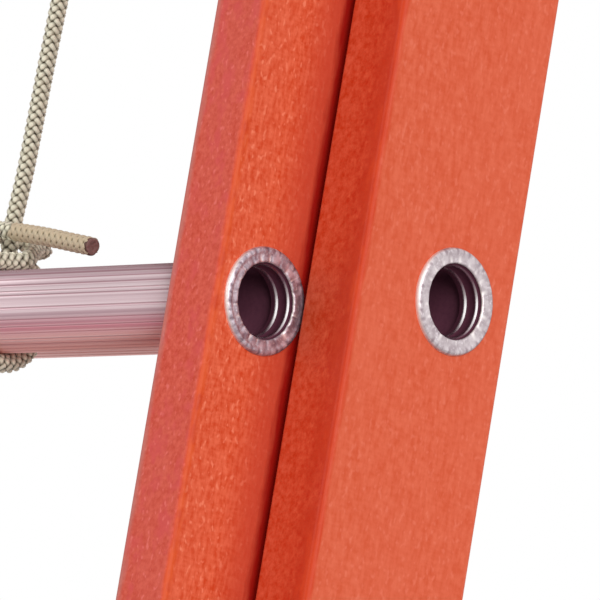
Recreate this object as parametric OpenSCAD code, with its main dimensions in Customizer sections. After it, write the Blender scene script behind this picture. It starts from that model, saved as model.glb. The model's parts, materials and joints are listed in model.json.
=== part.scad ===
// Two-section fiberglass extension ladder, closed, standing upright on its swivel shoes.
// X runs along the rungs, +Y from the fly section (front) to the base section (rear), +Z up the rails.
// Lengths in the modules are measured from the middle plane in X and from the fly's front face in Y.

/* [Rails] */
// Outside width of the base section
base_w = 486.6; // [470:0.1:500]
// Width of a base rail's flange
base_flange_w = 30.6; // [29:0.1:33]
// Width of a fly rail's flange
fly_flange_w = 28.6; // [27:0.1:31]
// Wall of every rail
rail_t = 4; // [3.5:0.1:4.4]
// Depth of a base rail, front to rear
base_depth = 90; // [88:0.5:94]
// Depth of a fly rail, front to rear
fly_depth = 76.2; // [75:0.1:77]
// How far the base's front face lies behind the fly's front face
nest_y = 47.2; // [46.5:0.1:48.5]
// Side gap between a base flange's lip and the fly rail
lip_gap = 3.15; // [3:0.05:3.6]

/* [Rungs] */
// Distance from rung to rung
rung_pitch = 304.8; // [295:0.1:306]
// Height of the lowest base rung above the floor
first_rung_z = 178; // [174:1:184]
// How much lower the fly rungs lie than the base rungs when closed
rung_drop = 18.4; // [18:0.1:18.8]
// Radius of a rung's round underside
rung_r = 18; // [17.6:0.1:18.2]
// Wall of a rung tube
rung_wall = 1.8; // [1.5:0.1:2.2]
// How far the crimped ring on a rung end stands out past the rung's underside
ring_rim = 4.4; // [3.4:0.1:5]

/* [Rope and pulley] */
// Diameter of the braided rope
rope_d = 8; // [7.5:0.1:8.2]
// Radius of the rope's centreline over the pulley wheel
pulley_r = 21; // [20:0.5:22]

/* [Shoes] */
// Length of a rubber shoe pad, front to rear
pad_len = 118.6; // [110:0.1:122]
// Thickness of a rubber shoe pad
pad_h = 9.5; // [8:0.5:10]

/* [Hidden] */

rung_count = 8;
play = 0.3;                       // gap between pieces that move past each other
fit = 0.05;                       // radial clearance of a pin or a sleeve in its bore
sheet = 2.5;                      // thickness of the bent metal brackets

// Places of the rails
base_x = base_w / 2;              // outer face of the right base rail
fly_x = base_x - base_flange_w - lip_gap;
base_inner_x = base_x - rail_t;
fly_inner_x = fly_x - rail_t;
rail_bottom_z = 40;
fly_bottom_z = 98;
base_over = 128.4;                // base rail above the highest base rung
fly_over = 206.8;                 // fly rail above the highest fly rung
corner_r = 2.5;                   // outer corner of a rail
root_r = 1.5;                     // inner corner of a rail
lip_r = 1.2;                      // edge of a flange

// Places of the rungs
fly_rung_y = 27.7;
base_rung_y = nest_y + 55.35;
rung_tilt = 14.5;                 // turns the treads level when the ladder leans
rung_top = rung_r - 1;
rung_corner = 7;
ring_r = rung_r + ring_rim;
sleeve_r = rung_r - rung_wall + 0.1;
sleeve_t = 1.4;
bore_r = sleeve_r - sleeve_t;
collar_t = 3;
collar_rim = 1.9;                 // how far a collar stands out past its rung
sleeve_in = 6;                    // how far a ferrule reaches into its rung
function base_rung_z(i) = first_rung_z + i * rung_pitch;
function fly_rung_z(i) = base_rung_z(i) - rung_drop;
base_top_z = base_rung_z(rung_count - 1) + base_over;
fly_top_z = fly_rung_z(rung_count - 1) + fly_over;

// Swivel shoes
shoe_y = nest_y + base_depth / 2;
shoe_z = 78;
shoe_bolt_r = 5;
shoe_plate = 3;
shoe_lobe_r = 17;                 // round top of a shoe's side plate
shoe_gap = 0.5;                   // between a base flange's lip and the inner plate
sole_t = 4;
sole_len = pad_len - 22.6;
sole_rim = 3;                     // how far the sole stands out past the side plates
pad_rim = 2;                      // how far the pad stands out past the sole
sole_z = pad_h + sole_t;
tread_pitch = 12;
tread_w = 4;
tread_deep = 2.5;
nut_r = 8.5;
nut_h = 5;
head_h = 4.6;
inner_plate_x = base_x - base_flange_w - shoe_gap - shoe_plate;
outer_plate_x = base_x + play;

// Rung locks, one beside each fly rail, hinged below and behind the lowest fly rung
lock_y = base_rung_y - 43.05;     // so that the hooks reach the base rungs
lock_z = fly_rung_z(0) - 7.6;
hook_x = fly_inner_x - 51.55;
hook_w = 12;
hook_fold = 50;                   // turn from the working place back to the rest place
lock_pin_r = 4;
cheek_t = 4;
lug_t = 3;
lug_h = 20;
lug_z = lock_z - 12;
lug_end_x = fly_inner_x - 2.55;
lug_rivets_x = [fly_inner_x - 17.55, fly_inner_x - 7.55];
flipper_pin_r = 3;
flipper_hub = 50 * [cos(72), sin(72)];

// Pulley on the highest base rung
pulley_x = 15;
pulley_y = base_rung_y - 38.65;
pulley_z = base_rung_z(rung_count - 1) + rung_top + 6.4;
pulley_rim_r = pulley_r + 4;
pulley_w = 13;
axle_r = 5;
bracket_w = 32;
bracket_h = 42;
bracket_t = 2.4;
arm_h = 12;
axle_head_r = 7.5;
axle_head_h = 2.4;

// Guides, braces and rivets
guide_gap = 1.65;                 // side gap between a top guide and the fly rail
guide_lap = 45;                   // how far a top guide runs back along its base rail
guide_tab = 20;                   // its front tab, from the fly rail's outer face
guide_rivets = [30, 11];          // behind the base's front face; half the rivets' distance
top_guide_z = base_top_z - 52;
top_guide_h = 40;
foot_skirt = 8;
fly_guide_y = 22;
fly_guide_t = 2.4;
fly_guide_rivets = [38, 8];       // behind the fly's front face; half the rivets' distance
tongue_in = [5.3, 2.8];           // gap from a guide's tongue to the base rail's web and flange
fly_guide_z = fly_bottom_z + foot_skirt + 1;
fly_guide_h = 28;
cap_skin = 1.5;
fly_cap_skirt = 16;
base_cap_skirt = 10;
rivet_r = 2.4;
rivet_head_r = 4.2;
rivet_head_h = 1.5;
rivet_bow = 0.6;                  // rise of a rung's round wall under a rivet head
brace_w = 20;
brace_t = 3;
brace_foot_z = 104;
brace_foot_h = 27;
brace_rung_x = base_inner_x - 102.3;
brace_rung_half = 12;

// The rope, as places on its centreline; the tie and tail are counted from the rung they are tied to
rope_r = rope_d / 2;
rope_sides = 8;
tie_rung = 1;                     // counted from 0
haul_rung = 2;
rest_gap = rope_r + 0.3;
tie_top = [35.5, 50.3, rung_pitch + 6];
tie_route = [[32.2, 41.5, 31], [32, 43, 70], [30.5, 46.2, 135], [35.5, 50.3, rung_pitch - 8], tie_top];
tail_route = [
    [47, 43, 31], [44, 50, 33], [36, 53, 36], [27, 49, 38], [24, 41, 38.5], [27, 33, 38],
    [36, 29.5, 37], [48, 28.5, 35.5], [68, 27.7, 32.6], [86, 27.7, 29.4], [99.5, 27.7, 27]
];
knot_x = [30, 57];
knot_r = rope_d + 0.5;            // thickness of the turns round a rung
haul_knot_x = [-11, 16];
haul_drop = 30;                   // straight stretch below the wheel
haul_end = [pulley_x - pulley_r, base_rung_y - 26.55, base_rung_z(haul_rung) + 34];

// Middle of the closed ladder, front to rear
front_y = -sheet - 1.5;
rear_y = shoe_y + pad_len / 2;
mid_y = (front_y + rear_y) / 2;

function arc(c, r, a0, a1, n = 5) = [
    for (i = [0:n]) c + r * [cos(a0 + (a1 - a0) * i / n), sin(a0 + (a1 - a0) * i / n)]
];

// Lays an XY shape, extruded along Z, so that it runs along X with its x along Y and its y along Z.
module along_x() {
    rotate([90, 0, 90]) children();
}

module at(x, y, z) {
    translate([x, y - mid_y, z]) children();
}

module on_side(side) {
    if (side > 0) children();
    else mirror([1, 0, 0]) children();
}

module both_sides() {
    for (side = [-1, 1]) on_side(side) children();
}

// A bar along X from x0 to x1.
module bar(x0, x1, r, fn = 32) {
    translate([x0, 0, 0]) rotate([0, 90, 0]) cylinder(r = r, h = x1 - x0, $fn = fn);
}

// ---- rails ----

// Channel with flanges f wide that opens to -X, its outer web face on x = 0 and its front face on y = 0.
function channel(depth, f) = let (t = rail_t) concat(
    arc([-f + lip_r, lip_r], lip_r, 180, 270, 3),
    arc([-corner_r, corner_r], corner_r, 270, 360),
    arc([-corner_r, depth - corner_r], corner_r, 0, 90),
    arc([-f + lip_r, depth - lip_r], lip_r, 90, 180, 3),
    arc([-f + lip_r, depth - t + lip_r], lip_r, 180, 270, 3),
    arc([-t - root_r, depth - t - root_r], root_r, 90, 0, 3),
    arc([-t - root_r, t + root_r], root_r, 0, -90, 3),
    arc([-f + lip_r, t - lip_r], lip_r, 90, 180, 3)
);

module rail(depth, f, length) {
    linear_extrude(length) polygon(channel(depth, f));
}

module rung_holes(x, y, first_z) {
    for (i = [0:rung_count - 1])
        at(x - rail_t - 1, y, first_z + i * rung_pitch) bar(0, rail_t + 2, sleeve_r + fit, 48);
}

module base_rail(side) {
    color("orangered") on_side(side) difference() {
        at(base_x, nest_y, rail_bottom_z) rail(base_depth, base_flange_w, base_top_z - rail_bottom_z);
        rung_holes(base_x, base_rung_y, base_rung_z(0));
        at(base_inner_x - 1, shoe_y, shoe_z) bar(0, rail_t + 2, shoe_bolt_r + fit);
        base_rivet_holes();
    }
}

module fly_rail(side) {
    color("orangered") on_side(side) difference() {
        at(fly_x, 0, fly_bottom_z) rail(fly_depth, fly_flange_w, fly_top_z - fly_bottom_z);
        rung_holes(fly_x, fly_rung_y, fly_rung_z(0));
        fly_rivet_holes();
    }
}

// ---- rungs ----

// D shape with a flat tread on top and a round underside, centred on the round part.
function rung_outline(grow) = concat(
    arc([0, 0], rung_r + grow, 180, 360, 24),
    arc([rung_r - rung_corner, rung_top - rung_corner], rung_corner + grow, 0, 90, 6),
    arc([rung_corner - rung_r, rung_top - rung_corner], rung_corner + grow, 90, 180, 6)
);

// Middles of the grooves between the ribs on the right half; the left half mirrors them.
side_grooves = [[rung_r, 0.7], [rung_r, 5.9], [rung_r, 8.4], [rung_r - 0.5, 12.5], [rung_r - 1.6, 14.6]];
under_grooves = [-24, -34, -44, -54, -64];
tread_grooves = [-8, -4, 0, 4, 8];
groove_r = 0.6;

module grooves() {
    for (m = [0, 1]) mirror([m, 0]) {
        for (p = side_grooves) translate(p) circle(r = groove_r, $fn = 16);
        for (a = under_grooves) rotate(a) translate([rung_r, 0]) circle(r = groove_r, $fn = 16);
    }
    for (x = tread_grooves) translate([x, rung_top]) circle(r = groove_r, $fn = 16);
}

module rung(inner_x, y, z) {
    color("silver") difference() {
        at(-inner_x, y, z) along_x() linear_extrude(2 * inner_x) rotate(rung_tilt) difference() {
            polygon(rung_outline(0));
            polygon(rung_outline(-rung_wall));
            grooves();
        }
        both_sides() at(inner_x - sleeve_in - 1, y, z) bar(0, sleeve_in + 2, sleeve_r + fit, 48);
    }
}

module base_rung(i) {
    difference() {
        rung(base_inner_x, base_rung_y, base_rung_z(i));
        if (i == 0) both_sides() brace_rivet_hole();
    }
}

module fly_rung(i) {
    rung(fly_inner_x, fly_rung_y, fly_rung_z(i));
}

// Sleeve with a crimped outer ring, its ring's back face on x = 0 and its sleeve towards -X.
module ferrule() {
    ring_t = 1.2;
    depth = rail_t + sleeve_in;
    rotate([0, 90, 0]) rotate_extrude($fn = 64) difference() {
        union() {
            translate([bore_r, 0]) square([ring_r - bore_r - 0.6, ring_t]);
            translate([bore_r, 0]) square([ring_r - bore_r, ring_t - 0.5]);
            translate([bore_r, -depth]) square([sleeve_r - bore_r, depth + 0.1]);
        }
        translate([bore_r, -1.4]) circle(r = 0.5, $fn = 16);
        translate([bore_r, -5.6]) circle(r = 0.6, $fn = 16);
        translate([bore_r, -8.2]) circle(r = 0.6, $fn = 16);
    }
}

module ferrules(x, y, first_z) {
    color("lightgray") both_sides() for (i = [0:rung_count - 1])
        at(x, y, first_z + i * rung_pitch) ferrule();
}

module collars(inner_x, y, first_z) {
    color("lightgray") both_sides() for (i = [0:rung_count - 1])
        at(inner_x - collar_t, y, first_z + i * rung_pitch)
            along_x() linear_extrude(collar_t) rotate(rung_tilt) difference() {
                polygon(rung_outline(collar_rim));
                polygon(rung_outline(fit));
            }
}

// ---- swivel shoes ----

module shoe_outline() {
    foot_half = sole_len / 2 - 8;
    difference() {
        union() {
            circle(r = shoe_lobe_r, $fn = 48);
            polygon([[-foot_half, sole_z - shoe_z - 1], [foot_half, sole_z - shoe_z - 1],
                [shoe_lobe_r - 0.5, 4], [0.5 - shoe_lobe_r, 4]]);
        }
        circle(r = shoe_bolt_r + fit, $fn = 32);
    }
}

module shoe(side) {
    color("silver") on_side(side) {
        for (x = [inner_plate_x, outer_plate_x])
            at(x, shoe_y, shoe_z) along_x() linear_extrude(shoe_plate) shoe_outline();
        at(inner_plate_x - sole_rim, shoe_y - sole_len / 2, pad_h)
            cube([outer_plate_x - inner_plate_x + shoe_plate + 2 * sole_rim, sole_len, sole_t]);
    }
}

module shoe_pad(side) {
    pad_x0 = inner_plate_x - sole_rim - pad_rim;
    pad_x1 = outer_plate_x + shoe_plate + sole_rim + pad_rim;
    color("dimgray") on_side(side) difference() {
        at(pad_x0, shoe_y - pad_len / 2, 0) cube([pad_x1 - pad_x0, pad_len, pad_h]);
        for (k = [-4:4]) at(pad_x0 - 1, shoe_y + k * tread_pitch - tread_w / 2, -1)
            cube([pad_x1 - pad_x0 + 2, tread_w, tread_deep + 1]);
    }
}

module shoe_bolts() {
    nut_x = inner_plate_x - play - nut_h;
    head_x = outer_plate_x + shoe_plate + play;
    color("gray") both_sides() at(0, shoe_y, shoe_z) {
        bar(nut_x - 1.5, head_x + 1, shoe_bolt_r);
        bar(nut_x, nut_x + nut_h, nut_r, 6);
        bar(head_x, head_x + head_h, nut_r, 6);
    }
}

// ---- rung locks ----

// Hook as it hangs over a base rung, counted from its hinge pin.
hook_outline = concat(
    [[9, 4], [18, 20], [20.8, 33.5], [21.5, 38.7], [55.5, 47.4]],
    arc([0, 0], 73, 40, 26, 4),
    [[68.9, 32.1]],
    arc([0, 0], 82, 26.5, 48, 6),
    [[35, 60.6], [18, 52.5], [11, 42.7], [9.4, 32], [5, 20], [-8, 5]]
);

module lock_hook(side) {
    color("gainsboro") on_side(side) {
        at(hook_x, lock_y, lock_z) along_x() rotate([0, 0, hook_fold]) difference() {
            union() {
                linear_extrude(hook_w) circle(r = 10, $fn = 40);
                linear_extrude(hook_w) polygon(hook_outline);
                translate([flipper_hub[0], flipper_hub[1], -5]) {
                    cylinder(r = flipper_pin_r, h = 5.1, $fn = 32);
                    cylinder(r = 4.6, h = 1, $fn = 32);
                }
            }
            translate([0, 0, -1]) cylinder(r = lock_pin_r + fit, h = hook_w + 2, $fn = 40);
        }
    }
}

// Small tongue that closes the hook's throat when the fly section is lowered.
module lock_flipper(side) {
    reach = 46;
    color("goldenrod") on_side(side)
        at(hook_x - 3.6, lock_y, lock_z) along_x() rotate([0, 0, hook_fold])
            translate([flipper_hub[0], flipper_hub[1], 0]) rotate([0, 0, 10]) difference() {
                union() {
                    cylinder(r = 5.5, h = 3, $fn = 32);
                    translate([0, -4.2, 0]) cube([reach, 8.4, 3]);
                    translate([reach, 0, 0]) cylinder(r = 4.2, h = 3, $fn = 32);
                }
                translate([0, 0, -1]) cylinder(r = flipper_pin_r + fit, h = 5, $fn = 32);
            }
}

cheek_x = [hook_x - play - cheek_t, hook_x + hook_w + play];

// Side plate of a lock, in Y and Z.
module cheek_outline() {
    difference() {
        union() {
            translate([fly_rung_y, fly_rung_z(0)]) circle(r = 25.5, $fn = 64);
            translate([lock_y, lock_z]) circle(r = 11, $fn = 40);
            polygon([[fly_rung_y - 7.7, fly_rung_z(0) - 24.3], [fly_depth + lug_t, lug_z - lug_h / 2],
                [fly_depth + lug_t, lug_z + lug_h / 2], [lock_y + 6, lock_z + 9],
                [fly_rung_y + 12.3, fly_rung_z(0) + 21.5]]);
        }
        translate([fly_rung_y, fly_rung_z(0)]) rotate(rung_tilt) polygon(rung_outline(0.1));
        translate([lock_y, lock_z]) circle(r = lock_pin_r + 0.02, $fn = 40);
    }
}

module lock_frame(side) {
    color("silver") on_side(side) difference() {
        union() {
            for (x = cheek_x) at(x, 0, 0) along_x() linear_extrude(cheek_t) cheek_outline();
            at(cheek_x[0] + 1, lock_y - 26, lug_z - 8) cube([cheek_x[1] - cheek_x[0], 24, cheek_t]);
            at(cheek_x[1], fly_depth, lug_z - lug_h / 2) cube([lug_end_x - cheek_x[1], lug_t, lug_h]);
        }
        lug_rivet_holes();
    }
}

module lock_pins() {
    color("gray") both_sides() at(0, lock_y, lock_z) {
        bar(cheek_x[0] - 11, cheek_x[1] + cheek_t + 1, lock_pin_r, 40);
        bar(cheek_x[0] - 13, cheek_x[0] - 11, 6.5, 40);
        bar(cheek_x[1] + cheek_t, cheek_x[1] + cheek_t + 2, 6.5, 40);
    }
}

// Tube of radius r swept along points, with its side count; up is any direction the route never follows.
function unit(v) = v / norm(v);
function sweep_points(route, r, sides, up) = [
    for (i = [0:len(route) - 1])
        let (
            ahead = unit(route[min(i + 1, len(route) - 1)] - route[max(i - 1, 0)]),
            u = unit(cross(up, ahead)),
            v = cross(ahead, u)
        )
        for (k = [0:sides - 1]) route[i] + r * (cos(360 * k / sides) * u + sin(360 * k / sides) * v)
];
function sweep_faces(rings, sides) = concat(
    [[for (k = [0:sides - 1]) sides - 1 - k]],
    [for (i = [0:rings - 2]) for (k = [0:sides - 1]) let (n = (k + 1) % sides)
        [i * sides + k, i * sides + n, (i + 1) * sides + n, (i + 1) * sides + k]],
    [[for (k = [0:sides - 1]) (rings - 1) * sides + k]]
);

module tube(route, r, sides, up) {
    polyhedron(sweep_points(route, r, sides, up), sweep_faces(len(route), sides), convexity = 6);
}

module lock_springs() {
    turns = 4;
    steps = 14;
    wire_r = 0.7;
    coil_r = 5.4;
    coil = [for (i = [0:turns * steps])
        [i * 8 / (turns * steps), coil_r * cos(360 * i / steps), coil_r * sin(360 * i / steps)]];
    color("gray") both_sides() at(cheek_x[0] - 9.6, lock_y, lock_z) tube(coil, wire_r, 6, [1, 0, 0]);
}

// ---- pulley ----

module pulley_bracket() {
    plate = bracket_t;
    half_w = bracket_w / 2;
    arm_w = bracket_w - 2;
    front = pulley_y - pulley_w / 2 - 0.5 - plate;
    rear = pulley_y + pulley_w / 2 + 0.5;
    bridge = bracket_h - pulley_rim_r - 5;
    color("silver") difference() {
        union() {
            for (y = [front, rear]) {
                at(pulley_x - half_w, y, pulley_z) cube([bracket_w, plate, bracket_h]);
                at(pulley_x, y, pulley_z) rotate([-90, 0, 0]) cylinder(r = half_w, h = plate, $fn = 48);
            }
            at(pulley_x - half_w, front, pulley_z + bracket_h - bridge)
                cube([bracket_w, rear + plate - front, bridge]);
            at(pulley_x - arm_w / 2, rear + plate - 0.1, pulley_z - axle_head_r - 2 - arm_h)
                cube([arm_w, base_rung_y - rear - plate, arm_h]);
            at(pulley_x - arm_w / 2, base_rung_y, base_rung_z(rung_count - 1)) along_x() linear_extrude(arm_w)
                rotate(rung_tilt) polygon(rung_outline(sheet));
        }
        at(pulley_x - half_w, base_rung_y, base_rung_z(rung_count - 1)) along_x() linear_extrude(bracket_w)
            rotate(rung_tilt) polygon(rung_outline(0.1));
        at(pulley_x, front - 1, pulley_z) rotate([-90, 0, 0])
            cylinder(r = axle_r + 0.02, h = rear + plate - front + 2, $fn = 40);
    }
}

module pulley_wheel() {
    g = rest_gap;
    mouth = g + 0.8;
    color("dimgray") at(pulley_x, pulley_y, pulley_z) rotate([-90, 0, 0])
        rotate_extrude($fn = 72) difference() {
            translate([axle_r + fit, -pulley_w / 2]) square([pulley_rim_r - axle_r - fit, pulley_w]);
            translate([pulley_r, 0]) {
                circle(r = g, $fn = 32);
                polygon([[0, -g], [5, -mouth], [5, mouth], [0, g]]);
            }
        }
}

module pulley_axle() {
    half = pulley_w / 2 + 0.6 + bracket_t;
    color("gray") at(pulley_x, pulley_y, pulley_z) rotate([-90, 0, 0]) {
        translate([0, 0, -half - 2]) cylinder(r = axle_r, h = 2 * half + 4, $fn = 40);
        translate([0, 0, -half - axle_head_h]) cylinder(r = axle_head_r, h = axle_head_h, $fn = 6);
        translate([0, 0, half]) cylinder(r = axle_head_r, h = axle_head_h, $fn = 6);
    }
}

// ---- guides ----

// Bent plate that holds the fly rail's front corner, in X and Y.
module top_guide(side) {
    outer = base_x + sheet;
    arm = fly_x + guide_gap;
    front = nest_y - sheet;
    color("silver") on_side(side) difference() {
        at(0, 0, top_guide_z) linear_extrude(top_guide_h) polygon([
            [base_x, nest_y + guide_lap], [outer, nest_y + guide_lap], [outer, front], [arm + sheet, front],
            [arm + sheet, front_y], [fly_x - guide_tab, front_y], [fly_x - guide_tab, front_y + sheet],
            [arm, front_y + sheet], [arm, nest_y], [base_x, nest_y]
        ]);
        base_rivet_holes();
    }
}

// Bent plate on the fly's foot, with a tongue that runs inside the base channel.
module fly_guide(side) {
    leg = fly_guide_t;
    tongue_x = base_inner_x - tongue_in[0];
    tongue_y = nest_y + rail_t + tongue_in[1];
    color("silver") on_side(side) difference() {
        at(0, 0, fly_guide_z) linear_extrude(fly_guide_h) polygon([
            [fly_x, fly_guide_y], [fly_x + leg, fly_guide_y], [fly_x + leg, tongue_y], [tongue_x, tongue_y],
            [tongue_x, tongue_y + sheet], [fly_x, tongue_y + sheet]
        ]);
        fly_rivet_holes();
    }
}

// ---- end caps ----

// Cap over a rail end, its top on z = 0, over a channel with its outer face on x = 0.
module cap(depth, f, skirt) {
    skin = cap_skin;
    difference() {
        translate([-f - skin, -skin, -skirt]) cube([f + 2 * skin, depth + 2 * skin, skirt + skin]);
        translate([0, 0, -skirt - 1]) linear_extrude(skirt + 1) polygon(channel(depth, f));
        translate([-f - skin - 1, rail_t + skin, -skirt - 1])
            cube([f - rail_t + 1, depth - 2 * rail_t - 2 * skin, skirt + 1]);
    }
}

module fly_top_caps() {
    color("black") both_sides() at(fly_x, 0, fly_top_z) cap(fly_depth, fly_flange_w, fly_cap_skirt);
}

module fly_foot_caps() {
    color("black") both_sides() at(fly_x, 0, fly_bottom_z)
        mirror([0, 0, 1]) cap(fly_depth, fly_flange_w, foot_skirt);
}

module base_top_caps() {
    color("black") both_sides() at(base_x, nest_y, base_top_z) cap(base_depth, base_flange_w, base_cap_skirt);
}

// ---- braces ----

module brace_rivet_hole() {
    at(brace_rung_x, base_rung_y, base_rung_z(0) - rung_r - 5) cylinder(r = rivet_r + fit, h = 9, $fn = 24);
}

// Flat strap from the base rail's web up to the underside of the lowest rung.
module brace(side) {
    under_z = base_rung_z(0) - rung_r;
    wall_x = base_inner_x;
    foot_top_z = brace_foot_z + brace_foot_h;
    far_x = brace_rung_x - brace_rung_half;
    near_x = brace_rung_x + brace_rung_half;
    t = brace_t;
    color("silver") on_side(side) difference() {
        at(0, base_rung_y + brace_w / 2, 0) rotate([90, 0, 0]) linear_extrude(brace_w) polygon([
            [wall_x, brace_foot_z], [wall_x, foot_top_z], [near_x, under_z], [far_x, under_z],
            [far_x, under_z - t], [near_x - 1, under_z - t], [wall_x - t, foot_top_z - 2],
            [wall_x - t, brace_foot_z]
        ]);
        brace_rivet_hole();
        base_rivet_holes();
    }
}

// ---- rivets ----

// A rivet along +Z through a grip, with a low head on each side.
module rivet(grip) {
    translate([0, 0, -rivet_head_h + 0.1]) cylinder(r = rivet_r, h = grip + 2 * rivet_head_h - 0.2, $fn = 24);
    translate([0, 0, -rivet_head_h])
        cylinder(r1 = rivet_head_r - 1, r2 = rivet_head_r, h = rivet_head_h, $fn = 24);
    translate([0, 0, grip]) cylinder(r1 = rivet_head_r, r2 = rivet_head_r - 1, h = rivet_head_h, $fn = 24);
}

module rivet_hole() {
    translate([0, 0, -3]) cylinder(r = rivet_r + fit, h = 16, $fn = 24);
}

// Children stand along +X at each rivet through a base rail's web.
module base_rivet_places() {
    for (k = [-1, 1])
        at(base_inner_x, nest_y + guide_rivets[0], top_guide_z + top_guide_h / 2 + guide_rivets[1] * k)
            rotate([0, 90, 0]) children();
}

module brace_rivet_place() {
    at(base_inner_x - brace_t, base_rung_y, brace_foot_z + 10) rotate([0, 90, 0]) children();
}

module fly_rivet_places() {
    for (k = [-1, 1])
        at(fly_inner_x, fly_guide_rivets[0], fly_guide_z + fly_guide_h / 2 + fly_guide_rivets[1] * k)
            rotate([0, 90, 0]) children();
}

module lug_rivet_places() {
    for (x = lug_rivets_x) at(x, fly_depth - rail_t, lug_z) rotate([-90, 0, 0]) children();
}

module base_rivet_holes() {
    base_rivet_places() rivet_hole();
    brace_rivet_place() rivet_hole();
}

module lug_rivet_holes() {
    lug_rivet_places() rivet_hole();
}

module fly_rivet_holes() {
    fly_rivet_places() rivet_hole();
    lug_rivet_holes();
}

module base_rivets() {
    color("silver") both_sides() {
        base_rivet_places() rivet(rail_t + sheet);
        brace_rivet_place() rivet(rail_t + brace_t);
        at(brace_rung_x, base_rung_y, base_rung_z(0) - rung_r - brace_t)
            rivet(brace_t + rung_wall + rivet_bow);
    }
}

module fly_rivets() {
    color("silver") both_sides() {
        fly_rivet_places() rivet(rail_t + fly_guide_t);
        lug_rivet_places() rivet(rail_t + lug_t);
    }
}

// ---- rope ----

module at_tie_rung() {
    at(0, 0, fly_rung_z(tie_rung)) children();
}

// Straight stretch from the pulley down to where the rope bears on the rung above its knot.
module rope_lift() {
    color("khaki") at(0, 0, 0) tube([
        [tie_top[0], tie_top[1], fly_rung_z(tie_rung) + tie_top[2] + play],
        [pulley_x + pulley_r, pulley_y, pulley_z]
    ], rope_r, rope_sides, [0, 1, 0]);
}

module rope_tie() {
    color("khaki") at_tie_rung() tube(tie_route, rope_r, rope_sides, [0, 1, 0]);
}

module rope_tail() {
    color("khaki") at_tie_rung() tube(tail_route, rope_r, rope_sides, [0, 0, 1]);
}

// Over the wheel, then down between the sections.
module rope_haul() {
    start = [for (z = [play, 2 * play]) [pulley_x + pulley_r, pulley_y, pulley_z + z]];
    over = [for (a = [15:15:180]) [pulley_x + pulley_r * cos(a), pulley_y, pulley_z + pulley_r * sin(a)]];
    down = [[pulley_x - pulley_r, pulley_y, pulley_z - haul_drop], haul_end];
    color("khaki") at(0, 0, 0) tube(concat(start, over, down), rope_r, rope_sides, [0, 1, 0]);
}

// Turns of rope round a rung, as one plain sleeve.
module turns_round(x, y, z) {
    at(x[0], y, z) along_x() linear_extrude(x[1] - x[0]) rotate(rung_tilt) difference() {
        polygon(rung_outline(knot_r));
        polygon(rung_outline(0.2));
    }
}

module rope_knot() {
    color("khaki") turns_round(knot_x, fly_rung_y, fly_rung_z(tie_rung));
}

module haul_knot() {
    color("khaki") turns_round(haul_knot_x, base_rung_y, base_rung_z(haul_rung));
}

base_rail(-1);  // base_rail_left
base_rail(1);  // base_rail_right
fly_rail(-1);  // fly_rail_left
fly_rail(1);  // fly_rail_right
base_rung(0);  // base_rung_1
base_rung(1);  // base_rung_2
base_rung(2);  // base_rung_3
base_rung(3);  // base_rung_4
base_rung(4);  // base_rung_5
base_rung(5);  // base_rung_6
base_rung(6);  // base_rung_7
base_rung(7);  // base_rung_8
fly_rung(0);  // fly_rung_1
fly_rung(1);  // fly_rung_2
fly_rung(2);  // fly_rung_3
fly_rung(3);  // fly_rung_4
fly_rung(4);  // fly_rung_5
fly_rung(5);  // fly_rung_6
fly_rung(6);  // fly_rung_7
fly_rung(7);  // fly_rung_8
ferrules(base_x, base_rung_y, base_rung_z(0));  // base_ferrules
ferrules(fly_x, fly_rung_y, fly_rung_z(0));  // fly_ferrules
collars(base_inner_x, base_rung_y, base_rung_z(0));  // base_collars
collars(fly_inner_x, fly_rung_y, fly_rung_z(0));  // fly_collars
shoe(-1);  // shoe_left
shoe(1);  // shoe_right
shoe_pad(-1);  // shoe_pad_left
shoe_pad(1);  // shoe_pad_right
shoe_bolts();
lock_frame(-1);  // lock_frame_left
lock_frame(1);  // lock_frame_right
lock_hook(-1);  // lock_hook_left
lock_hook(1);  // lock_hook_right
lock_flipper(-1);  // lock_flipper_left
lock_flipper(1);  // lock_flipper_right
lock_pins();
lock_springs();
pulley_bracket();
pulley_wheel();
pulley_axle();
top_guide(-1);  // top_guide_left
top_guide(1);  // top_guide_right
fly_guide(-1);  // fly_guide_left
fly_guide(1);  // fly_guide_right
fly_top_caps();
fly_foot_caps();
base_top_caps();
brace(-1);  // brace_left
brace(1);  // brace_right
base_rivets();
fly_rivets();
rope_lift();
rope_tie();
rope_knot();
rope_tail();
rope_haul();
haul_knot();
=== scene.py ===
"""Looks of the two-section fiberglass extension ladder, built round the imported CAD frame."""

import json
import math

import bpy
import numpy as np
from mathutils import Matrix, Vector


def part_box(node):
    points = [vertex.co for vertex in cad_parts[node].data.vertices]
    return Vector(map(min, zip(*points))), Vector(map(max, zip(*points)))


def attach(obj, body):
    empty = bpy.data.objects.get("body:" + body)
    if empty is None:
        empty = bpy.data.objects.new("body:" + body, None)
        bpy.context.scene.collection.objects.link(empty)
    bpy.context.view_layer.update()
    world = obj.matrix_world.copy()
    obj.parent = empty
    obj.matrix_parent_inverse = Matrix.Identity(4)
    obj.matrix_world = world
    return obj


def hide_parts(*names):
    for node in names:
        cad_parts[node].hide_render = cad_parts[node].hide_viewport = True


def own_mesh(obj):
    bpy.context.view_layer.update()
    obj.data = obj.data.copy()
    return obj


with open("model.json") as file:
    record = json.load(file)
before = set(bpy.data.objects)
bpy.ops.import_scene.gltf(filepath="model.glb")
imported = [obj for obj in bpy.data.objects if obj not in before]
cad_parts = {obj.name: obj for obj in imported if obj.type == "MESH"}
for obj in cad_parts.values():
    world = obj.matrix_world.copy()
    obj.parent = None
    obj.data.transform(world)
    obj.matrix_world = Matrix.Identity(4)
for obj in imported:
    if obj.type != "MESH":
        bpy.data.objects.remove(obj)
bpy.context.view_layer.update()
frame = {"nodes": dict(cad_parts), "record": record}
nodes = frame["nodes"]
MM = 0.001


# ---- places, all from the frame ----

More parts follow.
